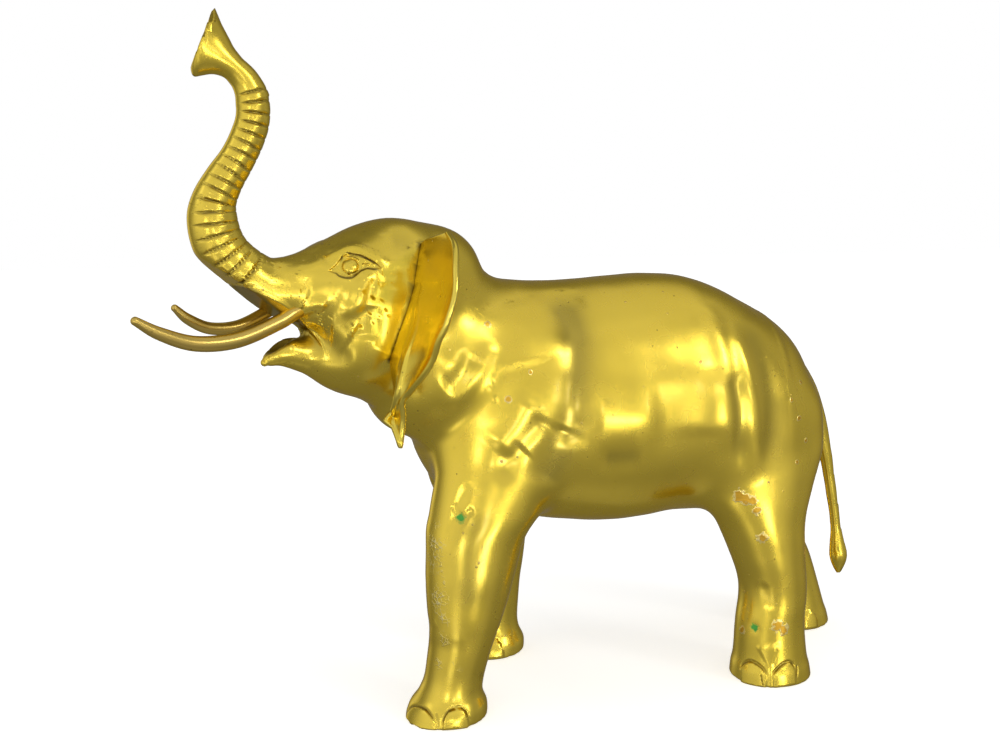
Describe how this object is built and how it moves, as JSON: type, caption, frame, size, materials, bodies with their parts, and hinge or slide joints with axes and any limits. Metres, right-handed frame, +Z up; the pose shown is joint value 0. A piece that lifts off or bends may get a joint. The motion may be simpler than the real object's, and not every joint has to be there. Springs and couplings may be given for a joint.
{
  "type": "cast brass elephant sculpture",
  "caption": "Striding elephant cast in polished brass, trunk raised in an S above curved tusks, head turned, ears spread, tail hanging, standing on its own feet.",
  "frame": {"origin": "on the ground under the middle of the bounding box", "axes": "X along the body, the elephant faces -X; Y across, its left side at -Y; Z up"},
  "size_m": [0.5743, 0.2261, 0.4951],
  "materials": {
    "body_brass": "polished, hand-finished casting with pits and a few corrosion spots",
    "ear_brass": "polished, redder than the body, brazed on",
    "tusk_brass": "duller, darker polish"
  },
  "bodies": {
    "root": {"body": "body_brass", "ear_left": "ear_brass", "ear_right": "ear_brass", "tusk_left": "tusk_brass", "tusk_right": "tusk_brass"}
  },
  "joints": []
}
